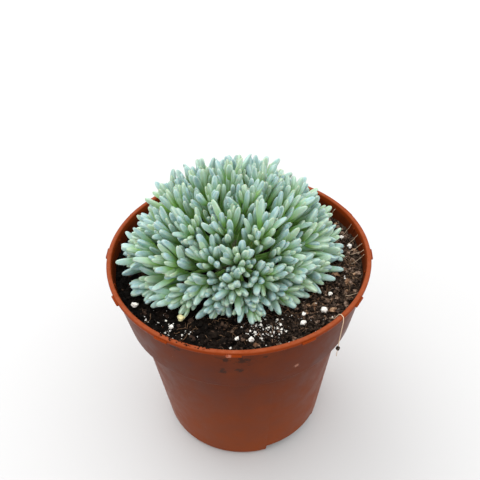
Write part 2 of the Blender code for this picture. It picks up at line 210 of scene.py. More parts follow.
RIB_TURN = math.radians(16.5)
RIB_SIZE = (0.0006, 0.0008, 0.0050)
RIB_REACH = 0.0005
RIB_ROUNDING = 0.0002
NOTCHES = 2
NOTCH_TURN = math.radians(-51)
NOTCH_SPAN = math.radians(48)
NOTCH_HEIGHT = 0.0052
DRAIN_HOLES = 6
DRAIN_RADIUS = 0.0028
DRAIN_SIDES = 24
DRAIN_CIRCLE_RADIUS = 0.0210


def body_radius(height):
    """The body's outer radius at a height."""
    return BODY_FOOT_RADIUS + height / STEP_HEIGHT * (BODY_TOP_RADIUS - BODY_FOOT_RADIUS)


def collar_radius(height):
    """The collar's outer radius at a height."""
    share = (height - STEP_HEIGHT) / (POT_HEIGHT - LIP_HEIGHT - STEP_HEIGHT)
    return COLLAR_FOOT_RADIUS + share * (COLLAR_TOP_RADIUS - COLLAR_FOOT_RADIUS)


def around(turn, radius, height):
    """A frame on a circle about the pot's axis, its X pointing outwards."""
    return Matrix.Rotation(turn, 4, "Z") @ Matrix.Translation((radius, 0.0, height))


# %% Spin the pot
def spun(profile, steps):
    """A closed shape spun about Z from (radius, height) points that start and end on the axis."""
    bm = bmesh.new()
    points = [bm.verts.new((radius, 0.0, height)) for radius, height in profile]
    edges = [bm.edges.new(pair) for pair in zip(points, points[1:])]
    bmesh.ops.spin(
        bm, geom=points + edges, cent=(0, 0, 0), axis=(0, 0, 1), angle=math.tau, steps=steps, use_merge=True
    )
    bmesh.ops.remove_doubles(bm, verts=bm.verts, dist=1e-6)
    bmesh.ops.recalc_face_normals(bm, faces=bm.faces)
    return bm


def round_rings(bm, corners, width, segments):
    """Rounds the circular edges that pass through the given (radius, height) corners."""
    chosen = []
    for edge in bm.edges:
        for radius, height in corners:
            if all(math.dist((v.co.xy.length, v.co.z), (radius, height)) < 2e-5 for v in edge.verts):
                chosen.append(edge)
                break
    bmesh.ops.bevel(
        bm, geom=chosen, offset=width, segments=segments, profile=0.5, affect="EDGES", material=-1
    )


floor_top = FLOOR_RAISE + FLOOR_THICKNESS
lip_foot = POT_HEIGHT - LIP_HEIGHT
ring_outer = BODY_FOOT_RADIUS - FOOT_ROUNDING / 2
ring_inner = ring_outer - FOOT_RING_WIDTH
pot_profile = (
    (0.0, floor_top),
    (body_radius(floor_top) - WALL, floor_top),
    (BODY_TOP_RADIUS - WALL, STEP_HEIGHT + WALL - STEP_DROP),
    (COLLAR_FOOT_RADIUS - WALL, STEP_HEIGHT + WALL),
    (COLLAR_TOP_RADIUS - WALL, lip_foot),
    (LIP_INNER_RADIUS, POT_HEIGHT),
    (LIP_RADIUS, POT_HEIGHT),
    (LIP_RADIUS, lip_foot),
    (COLLAR_TOP_RADIUS, lip_foot),
    (COLLAR_FOOT_RADIUS, STEP_HEIGHT),
    (BODY_TOP_RADIUS, STEP_HEIGHT - STEP_DROP),
    (body_radius(FOOT_ROUNDING), FOOT_ROUNDING),
    (ring_outer, 0.0),
    (ring_inner, 0.0),
    (ring_inner, FLOOR_RAISE),
    (0.0, FLOOR_RAISE),
)
pot_bm = spun(pot_profile, POT_STEPS)
lip_corners = [(LIP_INNER_RADIUS, POT_HEIGHT), (LIP_RADIUS, POT_HEIGHT), (LIP_RADIUS, lip_foot)]
outer_corners = [(COLLAR_FOOT_RADIUS, STEP_HEIGHT), (body_radius(FOOT_ROUNDING), FOOT_ROUNDING)]
round_rings(pot_bm, lip_corners, LIP_ROUNDING, 3)
round_rings(pot_bm, outer_corners, CORNER_ROUNDING, 3)
round_rings(pot_bm, [(BODY_TOP_RADIUS, STEP_HEIGHT - STEP_DROP)], STEP_ROUNDING, 2)
print("pot faces:", len(pot_bm.faces))

# %% [markdown]
# Small tabs stand out under the lip so that stacked pots let go of each other, and short ribs do the same
# inside. Each is a cube with rounded edges, sunk into the wall that carries it.

# %% Tabs and ribs
def rounded_block(bm, size, matrix, rounding):
    """A box with rounded edges added to a bmesh."""
    made = bmesh.ops.create_cube(bm, size=1.0, matrix=matrix @ Matrix.Diagonal((*size, 1.0)))
    edges = list({edge for vert in made["verts"] for edge in vert.link_edges})
    bmesh.ops.bevel(
        bm, geom=edges, offset=rounding, segments=2, profile=0.5, affect="EDGES", material=-1
    )


tab_bm = bmesh.new()
for k in range(TABS):
    turn = k * math.tau / TABS
    tab_middle = LIP_RADIUS + TAB_REACH - TAB_SIZE[0] / 2
    tab_matrix = around(turn + TAB_TURN, tab_middle, lip_foot + TAB_SIZE[2] / 2)
    rounded_block(tab_bm, TAB_SIZE, tab_matrix, TAB_ROUNDING)
    rib_middle = COLLAR_TOP_RADIUS - WALL - RIB_REACH + RIB_SIZE[0] / 2
    rib_matrix = around(turn + RIB_TURN, rib_middle, lip_foot - RIB_SIZE[2] / 2)
    rounded_block(tab_bm, RIB_SIZE, rib_matrix, RIB_ROUNDING)
print("tabs and ribs:", 2 * TABS)

# %% [markdown]
# ### Moulded polypropylene
# Terracotta-coloured polypropylene leaves the mould with a slight gloss and a skin that is never quite
# even. The thin lip lets light through and looks more orange than the shaded body. Handling has rubbed
# faint dull patches into it, and damp soil has left dark smears and dust on the collar's front. The real
# skin is grained far finer than a pixel, so the grit is drawn coarse enough to show. Light and shade are
# painted into the colour too: painted shade makes the body darker up under the collar's step and lighter
# towards the foot, a painted highlight runs along the lip's crest, and a painted glint sits on the lip's
# front tab, beside one real scuff on the collar.

# %% Pot material
POT_NOISE_MM = 9.0
GRIT_MM = 0.6
BLOT_MM = 1.9
CREST_BAND = 0.0005
LIP_FADE = (-0.0010, 0.0002)
GRIT_SHARE = 0.35
SMEAR_PULL = 0.50
SCUFF_AND_GLINT_PULL = 0.55
LIP_POLISH = -0.14
SMEARS = (
    (Vector((-0.0073, -0.0488, 0.0757)), 0.0034),
    (Vector((-0.0012, -0.0490, 0.0775)), 0.0042),
    (Vector((0.0012, -0.0500, 0.0838)), 0.0054),
    (Vector((-0.0060, -0.0500, 0.0850)), 0.0048),
    (Vector((0.0085, -0.0500, 0.0850)), 0.0036),
    (Vector((-0.0240, -0.0455, 0.0860)), 0.0040),
)
# A real scuff on the collar, and a painted glint on the lip's front tab.
SCUFF_AND_GLINT_SPOTS = (
    (Vector((0.0200, -0.0440, 0.0722)), 0.0026),
    (Vector((-0.0045, -0.0528, 0.0884)), 0.0028),
)


def nearness(tree, place, spots):
    """1 at the middle of the nearest of some (place, reach) spots, falling to 0 at its reach."""
    most = None
    for spot, reach in spots:
        away = add(tree, "ShaderNodeVectorMath", {0: place, 1: spot}, operation="DISTANCE")
        near = add(
            tree, "ShaderNodeMapRange", {"Value": away.outputs["Value"], "From Min": reach, "From Max": 0.0}
        )
        if most is None:
            most = near.outputs["Result"]
        else:
            both = {0: most, 1: near.outputs["Result"]}
            most = add(tree, "ShaderNodeMath", both, operation="MAXIMUM").outputs["Value"]
    return most


pot_plastic, tree, shader, place = start_material(
    "moulded_polypropylene", IOR=1.49, Specular_IOR_Level=0.03, Specular_Tint=paint("#ffb48c")
)
heights = add(tree, "ShaderNodeSeparateXYZ", {"Vector": place})
toward_lip = add(
    tree,
    "ShaderNodeMapRange",
    {"Value": heights.outputs["Z"], "From Min": lip_foot + LIP_FADE[0], "From Max": lip_foot + LIP_FADE[1]},
)
patches = add(
    tree,
    "ShaderNodeTexNoise",
    {"Vector": place, "Scale": 1000 / POT_NOISE_MM, "Detail": 4.0, "Roughness": 0.6},
)
# Painted shade: darker up under the collar's step, lighter towards the foot, over random patches.
toward_foot = add(
    tree, "ShaderNodeMapRange", {"Value": heights.outputs["Z"], "From Min": STEP_HEIGHT, "From Max": 0.0}
)
patches_and_painted_shade = add(
    tree, "ShaderNodeMath", {0: patches.outputs["Fac"], 1: toward_foot.outputs["Result"]}, operation="ADD"
)
patches_and_shade_share = add(
    tree, "ShaderNodeMapRange", {"Value": patches_and_painted_shade.outputs["Value"], "From Min": 0.20, "From Max": 1.75}
)
body_colour = add(
    tree,
    "ShaderNodeMix",
    {0: patches_and_shade_share.outputs["Result"], 6: paint("#481c0c"), 7: paint("#7e3c1c")},
    data_type="RGBA",
)
grit = add(tree, "ShaderNodeTexNoise", {"Vector": place, "Scale": 1000 / GRIT_MM, "Detail": 3.0})
blots = add(tree, "ShaderNodeTexNoise", {"Vector": place, "Scale": 1000 / BLOT_MM, "Detail": 2.0})
# Painted highlight: a paler band along the lip's crest, broken up by blots.
toward_crest = add(
    tree,
    "ShaderNodeMapRange",
    {"Value": heights.outputs["Z"], "From Min": POT_HEIGHT - CREST_BAND, "From Max": POT_HEIGHT},
)
crest_highlight_share = add(
    tree,
    "ShaderNodeMath",
    {0: toward_crest.outputs["Result"], 1: blots.outputs["Fac"]},
    operation="MULTIPLY",
)
lip_with_crest_highlight = add(
    tree,
    "ShaderNodeMix",
    {0: crest_highlight_share.outputs["Value"], 6: paint("#782f0f"), 7: paint("#8c4c32")},
    data_type="RGBA",
)
lip_colour = add(
    tree,
    "ShaderNodeMix",
    {0: toward_lip.outputs["Result"], 6: body_colour.outputs[2], 7: lip_with_crest_highlight.outputs[2]},
    data_type="RGBA",
)
fine_and_coarse = add(
    tree,
    "ShaderNodeMath",
    {0: grit.outputs["Fac"], 1: GRIT_SHARE, 2: blots.outputs["Fac"]},
    operation="MULTIPLY_ADD",
)
smeared = add(
    tree,
    "ShaderNodeMath",
    {0: nearness(tree, place, SMEARS), 1: SMEAR_PULL, 2: fine_and_coarse.outputs["Value"]},
    operation="MULTIPLY_ADD",
)
dirt = add(
    tree,
    "ShaderNodeMapRange",
    {"Value": smeared.outputs["Value"], "From Min": 0.94, "From Max": 1.08, "To Max": 0.85},
)
dirty = add(
    tree,
    "ShaderNodeMix",
    {0: dirt.outputs["Result"], 6: lip_colour.outputs[2], 7: paint("#2c1b14")},
    data_type="RGBA",
)
# Lightens the colour at the scuff and at the painted glint.
scuff_and_glint_field = add(
    tree,
    "ShaderNodeMath",
    {0: nearness(tree, place, SCUFF_AND_GLINT_SPOTS), 1: SCUFF_AND_GLINT_PULL, 2: fine_and_coarse.outputs["Value"]},
    operation="MULTIPLY_ADD",
)
scuff_and_glint_share = add(
    tree,
    "ShaderNodeMapRange",
    {"Value": scuff_and_glint_field.outputs["Value"], "From Min": 0.95, "From Max": 1.10, "To Max": 0.45},
)
base_with_scuff_and_glint = add(
    tree,
    "ShaderNodeMix",
    {0: scuff_and_glint_share.outputs["Result"], 6: dirty.outputs[2], 7: paint("#b98672")},
    data_type="RGBA",
)
tree.links.new(base_with_scuff_and_glint.outputs[2], shader.inputs["Base Color"])
dullness = add(
    tree,
    "ShaderNodeMapRange",
    {"Value": patches.outputs["Fac"], "From Min": 0.35, "From Max": 0.65, "To Min": 0.30, "To Max": 0.44},
)
roughness = add(
    tree,
    "ShaderNodeMath",
    {0: toward_lip.outputs["Result"], 1: LIP_POLISH, 2: dullness.outputs["Result"]},
    operation="MULTIPLY_ADD",
)
tree.links.new(roughness.outputs["Value"], shader.inputs["Roughness"])
grain_bump = add(
    tree, "ShaderNodeBump", {"Height": grit.outputs["Fac"], "Strength": 0.12, "Distance": 0.0001}
)
tree.links.new(grain_bump.outputs["Normal"], shader.inputs["Normal"])
print("smears and scuffs:", len(SMEARS) + len(SCUFF_AND_GLINT_SPOTS))

# %% Cut the notches and drain holes
SHARP_ANGLE = math.radians(40)


def cut_out(piece, cutters):
    """Cuts closed shapes out of a piece and keeps the result as its mesh."""
    tool = bpy.data.objects.new("cutter", bpy.data.meshes.new("cutter"))
    cutters.to_mesh(tool.data)
    cutters.free()
    bpy.context.scene.collection.objects.link(tool)
    cut = piece.modifiers.new("cut", "BOOLEAN")
    cut.object = tool
    cut.operation = "DIFFERENCE"
    graph = bpy.context.evaluated_depsgraph_get()
    mesh = bpy.data.meshes.new_from_object(piece.evaluated_get(graph))
    piece.modifiers.clear()
    piece.data = mesh
    bpy.data.objects.remove(tool)


pot = finish_piece("plastic_pot", pot_bm, [pot_plastic], ["pot"])
finish_piece("pot_tabs", tab_bm, [pot_plastic])
cutters = bmesh.new()
notch_size = (3 * FOOT_RING_WIDTH, 2 * BODY_FOOT_RADIUS * math.sin(NOTCH_SPAN / 2), 2 * NOTCH_HEIGHT)
for k in range(NOTCHES):
    matrix = around(NOTCH_TURN + k * math.tau / NOTCHES, BODY_FOOT_RADIUS - FOOT_RING_WIDTH, 0.0)
    bmesh.ops.create_cube(cutters, size=1.0, matrix=matrix @ Matrix.Diagonal((*notch_size, 1.0)))
hole_centres = [around(k * math.tau / DRAIN_HOLES, DRAIN_CIRCLE_RADIUS, 0.0) for k in range(DRAIN_HOLES)]
for matrix in hole_centres + [Matrix.Identity(4)]:
    bmesh.ops.create_cone(
        cutters,
        cap_ends=True,
        segments=DRAIN_SIDES,
        radius1=DRAIN_RADIUS,
        radius2=DRAIN_RADIUS,
        depth=3 * FLOOR_THICKNESS,
        matrix=Matrix.Translation((0, 0, FLOOR_RAISE + FLOOR_THICKNESS / 2)) @ matrix,
    )
cut_out(pot, cutters)
pot.data.set_sharp_from_angle(angle=SHARP_ANGLE)
print("pot:", len(pot.data.polygons), "faces")

# %% [markdown]
# ## The soil
# Potting soil is peat: dark crumbs and fibres of many sizes, a little higher at the wall than round the
# plant. The surface is a spun disc whose points are lifted by layers of noise, and hundreds of loose
# crumbs and fibres lie on it, because noise alone looks like a cloth and not like earth.

# %% Soil sizes and surface
SOIL_TOP = 0.0818
SOIL_RISE = 0.0025
SOIL_GAP = 0.0003
SOIL_EDGE = collar_radius(SOIL_TOP + SOIL_RISE) - WALL - SOIL_GAP
SOIL_RINGS = 110
SOIL_STEPS = 300
CRUMB_HEIGHT = 0.0008
CRUMB_SIZE = 0.0060
FINE_CRUMB_HEIGHT = 0.0020
FINE_CRUMB_SIZE = 0.0026
FINE_LAYERS = ((1.0, 0.80), (2.3, 0.50), (5.1, 0.25))
FINE_DROP = 0.15
CALM_RING = 1.3
HEART = Vector((-0.0020, 0.0010, 0.0840))
CROWN_RADIUS = 0.0087


def soil_level(away):
    """Height of the soil at a distance from the pot's axis, its crumbs left out."""
    return SOIL_TOP + SOIL_RISE * (away / SOIL_EDGE) ** 2


def soil_surface(east, north):
    """Height of the soil's surface with its crumbs."""
    away = math.hypot(east, north)
    coarse = noise.noise(Vector((east / CRUMB_SIZE, north / CRUMB_SIZE, 0.0)))
    fine = noise.noise(Vector((east / CRUMB_SIZE, north / CRUMB_SIZE, 7.0)) * 2.3)
    from_crown = math.hypot(east - HEART.x, north - HEART.y)
    share = min(1.0, max(0.0, from_crown / CROWN_RADIUS - CALM_RING))
    relief = CRUMB_HEIGHT * share * max(-1.0, min(1.0, 1.2 * coarse + 0.6 * fine))
    spot = Vector((east, north, 0.0)) / FINE_CRUMB_SIZE
    small = sum(weight * noise.noise(spot * scale) for scale, weight in FINE_LAYERS) - FINE_DROP
    return soil_level(away) + relief + FINE_CRUMB_HEIGHT * share * small


inside = WALL + SOIL_GAP
soil_floor = floor_top + SOIL_GAP
soil_rings = [SOIL_EDGE * k / SOIL_RINGS for k in range(SOIL_RINGS + 1)]
soil_profile = [(radius, soil_level(radius)) for radius in soil_rings] + [
    (COLLAR_FOOT_RADIUS - inside, STEP_HEIGHT + WALL + SOIL_GAP),
    (BODY_TOP_RADIUS - inside, STEP_HEIGHT + WALL - STEP_DROP + SOIL_GAP),
    (body_radius(soil_floor) - inside, soil_floor),
    (0.0, soil_floor),
]
soil_bm = spun(soil_profile, SOIL_STEPS)
for vert in soil_bm.verts:
    if vert.co.z > SOIL_TOP - 1e-5:
        vert.co.z = soil_surface(vert.co.x, vert.co.y)
print("soil faces:", len(soil_bm.faces))

# %% [markdown]
# ### Damp peat
# Peat is almost black when damp, with brown fibres that catch a little light. The colour varies over a
# few millimetres, and a fine bump breaks the highlights.

# %% Peat material
PEAT_PATCH_MM = 4.0
PEAT_GRAIN_MM = 0.9
DRIER_PER_METRE = 3.0


def peat_material(name, shade, middle, light):
    """Matt peat: patches of a second tone and grains of the lightest, more of both to the right."""
    material, tree, shader, place = start_material(name, Roughness=0.9, Specular_IOR_Level=0.08)
    east = add(tree, "ShaderNodeSeparateXYZ", {"Vector": place}).outputs["X"]
    layers = ((PEAT_PATCH_MM, 6.0, 0.42, 0.62, middle), (PEAT_GRAIN_MM, 3.0, 0.56, 0.72, light))
    colour = paint(shade)
    for size_mm, detail, least, most, tone in layers:
        spots = add(
            tree, "ShaderNodeTexNoise", {"Vector": place, "Scale": 1000 / size_mm, "Detail": detail}
        )
        drier = add(
            tree,
            "ShaderNodeMath",
            {0: east, 1: DRIER_PER_METRE, 2: spots.outputs["Fac"]},
            operation="MULTIPLY_ADD",
        )
        share = add(
            tree,
            "ShaderNodeMapRange",
            {"Value": drier.outputs["Value"], "From Min": least, "From Max": most},
        )
        mixed = add(
            tree,
            "ShaderNodeMix",
            {0: share.outputs["Result"], 6: colour, 7: paint(tone)},
            data_type="RGBA",
        )
        colour = mixed.outputs[2]
    tree.links.new(colour, shader.inputs["Base Color"])
    bump = add(
        tree, "ShaderNodeBump", {"Height": spots.outputs["Fac"], "Strength": 0.8, "Distance": 0.0005}
    )
    tree.links.new(bump.outputs["Normal"], shader.inputs["Normal"])
    return material


damp_peat = peat_material("damp_peat", "#0c0907", "#1b140f", "#4a3c32")
dry_peat = peat_material("drier_peat", "#33261f", "#5b473a", "#8d7868")
wood_bits = peat_material("wood_bits", "#3f2b1f", "#684b38", "#a08267")
print("peat materials:", damp_peat.name, dry_peat.name, wood_bits.name)
finish_piece("peat", soil_bm, [damp_peat], ["soil"], smooth=False)

# %% [markdown]
# ### Crumbs, fibres and white flecks
# Crumbs are small icospheres pulled out of shape. Each bmesh holds hundreds of them, so each crumb has
# only a few faces. A fibre is a three-sided ring pushed out station by station along a curve.
# The vector noise that shapes them starts from the clock unless it is seeded, so it gets a seed too.

# %% Loose crumbs
CRUMB_SEED = 21
soil_rng = np.random.default_rng(CRUMB_SEED)
noise.seed_set(CRUMB_SEED)


def add_grain(bm, centre, size, squash, seed, subdivisions=1, roughness=0.35):
    """An uneven grain: an icosphere whose points are pushed in and out by noise."""
    made = bmesh.ops.create_icosphere(bm, subdivisions=subdivisions, radius=0.5)
    offset = Vector((seed * 3.7, seed * 1.9, seed * 0.7))
    turn = Matrix.Rotation(seed * 2.4, 3, Vector((math.sin(seed), math.cos(seed), 0.6)).normalized())
    for vert in made["verts"]:
        co = turn @ vert.co
        co += roughness * noise.noise_vector(co * 2.2 + offset)
        vert.co = centre + Vector((co.x * size, co.y * size, co.z * size * squash))
    return made["verts"]


def scatter(rng, count, low, high):
    """Evenly scattered (east, north) places on the soil between two radii."""
    radius = np.sqrt(rng.uniform(low**2, high**2, count))
    turn = rng.uniform(0, math.tau, count)
    return [(r * math.cos(t), r * math.sin(t)) for r, t in zip(radius, turn)]


CRUMBS = 2300
DRY_CRUMBS = 900
WOOD_BITS = 170
UNDER_LEAVES = 0.018
TREAD = 0.0010
CRUMB_LIFT = 0.18
LEAST_DRY = 0.15
DRY_GATHERING = 2.5


def strew(name, count, low_size, high_size, favour, squash, material, rng):
    """Hundreds of grains on the soil as one piece; most of them are small."""
    bm = bmesh.new()
    laid = 0
    for index, (east, north) in enumerate(scatter(rng, 4 * count, UNDER_LEAVES, SOIL_EDGE - TREAD)):
        size = low_size + (high_size - low_size) * rng.random() ** favour
        to_the_right = 0.5 + 0.5 * east / SOIL_EDGE
        dry_share = LEAST_DRY + (1 - LEAST_DRY) * to_the_right**DRY_GATHERING
        if laid == count or (material != damp_peat and rng.random() > dry_share):
            continue
        if math.hypot(east, north) > SOIL_EDGE - TREAD / 2 - size / 2:
            continue
        height = soil_surface(east, north) + size * CRUMB_LIFT
        add_grain(bm, Vector((east, north, height)), size, squash, index * 0.37, roughness=0.45)
        laid += 1
    print(name, "laid:", laid)
    finish_piece(name, bm, [material], smooth=False)


strew("peat_crumbs", CRUMBS, 0.0005, 0.0030, 2.6, 0.75, damp_peat, soil_rng)
strew("dry_crumbs", DRY_CRUMBS, 0.0004, 0.0022, 2.2, 0.70, dry_peat, soil_rng)
strew("wood_bits", WOOD_BITS, 0.0006, 0.0032, 2.4, 0.45, wood_bits, soil_rng)

# %% Fibres
def add_strand(bm, path, widths, sides=3):
    """A thin closed strand along a list of points."""
    ring = bmesh.ops.create_circle(bm, cap_ends=True, segments=sides, radius=1.0)["verts"]
    end = ring[0].link_faces[0]
    first = end
    before = Matrix.Identity(4)
    turn = None
    heading = None
    for index, (point, width) in enumerate(zip(path, widths)):
        ahead = path[min(index + 1, len(path) - 1)] - path[max(index - 1, 0)]
        direction = ahead.normalized()
        if turn is None:
            turn = direction.to_track_quat("Z", "Y")
        else:
            turn = heading.rotation_difference(direction) @ turn
        heading = direction
        there = Matrix.LocRotScale(point, turn, (width / 2,) * 3)
        if index:
            grown = bmesh.ops.extrude_face_region(bm, geom=[end])["geom"]
            if end != first:
                bmesh.ops.delete(bm, geom=[end], context="FACES_ONLY")
            end = next(part for part in grown if isinstance(part, bmesh.types.BMFace))
        bmesh.ops.transform(bm, matrix=there @ before.inverted(), verts=list(end.verts))
        before = there


FIBRES = 300
FIBRE_START = 0.026
FIBRE_LENGTHS = (0.002, 0.007)
FIBRE_CURL = 1.6
FIBRE_LIFT = 0.0009
FIBRE_CLEARANCE = 0.0002
FIBRE_MARGIN = 0.0006
FIBRE_WIDTHS = (0.00012, 0.00034)
FIBRE_POINTS = 6

fibre_bm = bmesh.new()
for east, north in scatter(soil_rng, 2 * FIBRES, FIBRE_START, SOIL_EDGE - 0.003):
    if soil_rng.random() > 0.5 + 0.5 * east / SOIL_EDGE:
        continue
    length = soil_rng.uniform(*FIBRE_LENGTHS)
    turn = soil_rng.uniform(0, math.tau)
    curl = soil_rng.uniform(-FIBRE_CURL, FIBRE_CURL)
    lift = soil_rng.uniform(0.0, FIBRE_LIFT)
    path = []
    for k in range(FIBRE_POINTS):
        share = k / (FIBRE_POINTS - 1) - 0.5
        bend = turn + curl * share
        x = east + share * length * math.cos(bend)
        y = north + share * length * math.sin(bend)
        if math.hypot(x, y) > SOIL_EDGE - FIBRE_MARGIN:
            continue
        path.append(Vector((x, y, soil_surface(x, y) + FIBRE_CLEARANCE + lift * (1 - 4 * share**2))))
    if len(path) > 3:
        width = soil_rng.uniform(*FIBRE_WIDTHS)
        add_strand(fibre_bm, path, [width] * len(path))
bmesh.ops.recalc_face_normals(fibre_bm, faces=fibre_bm.faces)
print("fibre faces:", len(fibre_bm.faces))
dry_fibre, _, _, _ = start_material("dry_plant_fibre", Base_Color=paint("#6b4f36"), Roughness=0.8)
finish_piece("peat_fibres", fibre_bm, [dry_fibre])

# %% [markdown]
# ### Perlite and pumice
# Perlite is glass that has been popped like corn: chalk-white, rough and slightly pitted. The large grains
# stand in for the frame's solids, and fine flecks of it lie thickest in front of the plant. Its pores are
# finer than a pixel, so the pits are drawn coarse enough to show.

# %% Perlite material
PIT_MM = 0.5


def pitted_stone(name, light, shade):
    """A matt, finely pitted mineral in two close tones."""
    material, tree, shader, place = start_material(name, Roughness=0.92)
    pits = add(tree, "ShaderNodeTexNoise", {"Vector": place, "Scale": 1000 / PIT_MM, "Detail": 4.0})
    share = add(
        tree, "ShaderNodeMapRange", {"Value": pits.outputs["Fac"], "From Min": 0.35, "From Max": 0.6}
    )
    tone = add(
        tree,
        "ShaderNodeMix",
        {0: share.outputs["Result"], 6: paint(shade), 7: paint(light)},
        data_type="RGBA",
    )
    tree.links.new(tone.outputs[2], shader.inputs["Base Color"])
    bump = add(tree, "ShaderNodeBump", {"Height": pits.outputs["Fac"], "Strength": 0.5, "Distance": 0.0002})
    tree.links.new(bump.outputs["Normal"], shader.inputs["Normal"])
    return material


perlite = pitted_stone("expanded_perlite", "#f2f0ea", "#c9c3b8")
pumice = pitted_stone("pumice_stone", "#e6e0ae", "#c4b983")
print("stones:", perlite.name, pumice.name)

# %% Large grains
grain_nodes = sorted(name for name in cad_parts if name.startswith("perlite") or name == "pumice")
for index, name in enumerate(grain_nodes):
    low, high = (Vector(corner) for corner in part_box(name))
    centre = (low + high) / 2
    size = high - low
    grain_bm = bmesh.new()
    verts = add_grain(grain_bm, Vector(), 1.0, 1.0, 2 + index * 1.7, subdivisions=4, roughness=0.22)
    for vert in verts:
        vert.co += 0.05 * noise.noise_vector(vert.co * 7 + Vector((index, 0, 0)))
    reach = max(abs(vert.co[axis]) for vert in verts for axis in range(3))
    for vert in verts:
        vert.co = centre + Vector(vert.co[axis] / reach * size[axis] / 2 for axis in range(3))
    material = pumice if name == "pumice" else perlite
    finish_piece(f"{name}_grain", grain_bm, [material], [name])
print("large grains:", len(grain_nodes))

# %% Fine flecks
FLECKS = 90
FLECK_START = 0.028
FLECK_MARGIN = 0.0012
FLECK_DEPTH = 0.7
FLECK_SIZE = 0.00020
FLECK_SIZE_RANGE = 0.0010
FLECK_PATCHES = (
    ((0.0095, -0.0362), 0.0044, 230),
    ((0.0165, -0.0315), 0.0050, 90),
    ((-0.0330, -0.0290), 0.0040, 30),
    ((-0.0260, -0.0365), 0.0036, 60),
    ((0.0380, -0.0080), 0.0070, 50),
)

fleck_places = scatter(soil_rng, FLECKS, FLECK_START, SOIL_EDGE - FLECK_MARGIN)
for (east, north), spread, count in FLECK_PATCHES:
    for _ in range(count):
        place_east = east + spread * soil_rng.normal()
        place_north = north + FLECK_DEPTH * spread * soil_rng.normal()
        if math.hypot(place_east, place_north) < SOIL_EDGE - FLECK_MARGIN:
            fleck_places.append((place_east, place_north))
fleck_bm = bmesh.new()
for index, (east, north) in enumerate(fleck_places):
    size = FLECK_SIZE + FLECK_SIZE_RANGE * soil_rng.random() ** 6
    height = soil_surface(east, north) + size * 0.35
    add_grain(fleck_bm, Vector((east, north, height)), size, 0.8, 3 + index * 0.61)
finish_piece("perlite_flecks", fleck_bm, [perlite], smooth=False)
print("flecks:", len(fleck_places))

# %% [markdown]
# ## The crown
# Old stems grow woody where they leave the root. Almost all of the crown is hidden by leaves, so its
# solid keeps its shape and only gets a dry bark.

# %% Bark
BARK_RIDGE_MM = 1.2

dry_bark, tree, shader, place = start_material("dry_bark", Roughness=0.9)
ridges = add(tree, "ShaderNodeTexNoise", {"Vector": place, "Scale": 1000 / BARK_RIDGE_MM, "Detail": 5.0})
bark_tone = add(
    tree,
    "ShaderNodeMix",
    {0: ridges.outputs["Fac"], 6: paint("#3a2a1c"), 7: paint("#5f6a4a")},
    data_type="RGBA",
)
tree.links.new(bark_tone.outputs[2], shader.inputs["Base Color"])
bump = add(tree, "ShaderNodeBump", {"Height": ridges.outputs["Fac"], "Strength": 0.8, "Distance": 0.0005})
tree.links.new(bump.outputs["Normal"], shader.inputs["Normal"])
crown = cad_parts["crown"]
crown.data.materials.clear()
crown.data.materials.append(dry_bark)
print("crown:", dry_bark.name)

# %% [markdown]
# ## The leaves
# Every shoot grows away from the heart of the plant and carries opposite pairs of finger leaves, each pair
# turned a quarter from the last. The rule below is the one that made the solids: shoots spread over the
# cushion, and leaf tips spread over its surface, each kept inside its own shoot's share.

# %% The growth rule
SEED = 11
SHOOTS = 46
LOWEST_SHOOT = math.radians(8)
GOLDEN_ANGLE = math.radians(137.508)
AXIS_DRAW = 0.060
SHOOT_SPACING = 0.50
CREST_RADIUS = 0.0435
SKIRT_RADIUS = 0.0465
SHOULDER_DIP = 0.0020
FRONT_DIP = 0.0102
FRONT_TURN = math.radians(-82)
FRONT_EDGES = (0.05, 0.72)
LEAVES = 8
LEAF_RADIUS = 0.00172
LEAF_RADIUS_DRAW = 0.00022
LEAF_GAP = 0.0001
OLDEST_LEAF_REACH = 0.0150
YOUNGEST_LEAF_REACH = 0.0090
OLDEST_LEAF_SPREAD = math.radians(11)
YOUNGEST_LEAF_SPREAD = math.radians(2)
TIP_SPACING = 0.0060
TIP_DRAW = 0.0011
SPREADING_ROUNDS = 60
ROOT_OFFSET = 0.0008
OFF_AXIS = (0.31, 0.17, 0.94)


def spread_apart(points, spacing):
    """Pushes points that are nearer than the spacing a little away from each other."""
    apart = points[:, None] - points[None]
    distance = np.linalg.norm(apart, axis=2)
    np.fill_diagonal(distance, 1.0)
    push = np.clip(spacing - distance, 0, None) / distance
    return points + 0.25 * (push[..., None] * apart).sum(axis=1)


def shoot_axes(rng):
    """Unit directions of the shoots: a golden-angle spiral from crest to skirt, each a little off it."""
    count = np.arange(SHOOTS) + 0.5
    sine = 1 - count / SHOOTS * (1 - math.sin(LOWEST_SHOOT))
    cosine = np.sqrt(1 - sine**2)
    turn = count * GOLDEN_ANGLE
    axes = np.stack([cosine * np.cos(turn), cosine * np.sin(turn), sine], axis=1)
    axes += rng.normal(0, AXIS_DRAW, axes.shape)
    for _ in range(SPREADING_ROUNDS):
        axes = spread_apart(axes, SHOOT_SPACING)
        axes[:, 2] = np.maximum(axes[:, 2], math.sin(LOWEST_SHOOT))
        axes /= np.linalg.norm(axes, axis=1, keepdims=True)
    return axes


def cushion_radius(points):
    """Distance from the heart to the leaf tips in the points' directions."""
    length = np.linalg.norm(points, axis=-1)
    sine = points[..., 2] / length
    cosine = np.sqrt(np.clip(1 - sine**2, 1e-9, 1))
    to_the_front = points[..., 0] * math.cos(FRONT_TURN) + points[..., 1] * math.sin(FRONT_TURN)
    facing = to_the_front / length / cosine
    ramp = np.clip((facing - FRONT_EDGES[0]) / (FRONT_EDGES[1] - FRONT_EDGES[0]), 0, 1)
    front = ramp**2 * (3 - 2 * ramp)
    radius = CREST_RADIUS * sine**2 + (SKIRT_RADIUS - FRONT_DIP * front) * cosine**2
    return radius - SHOULDER_DIP * 2 * np.abs(sine) * cosine


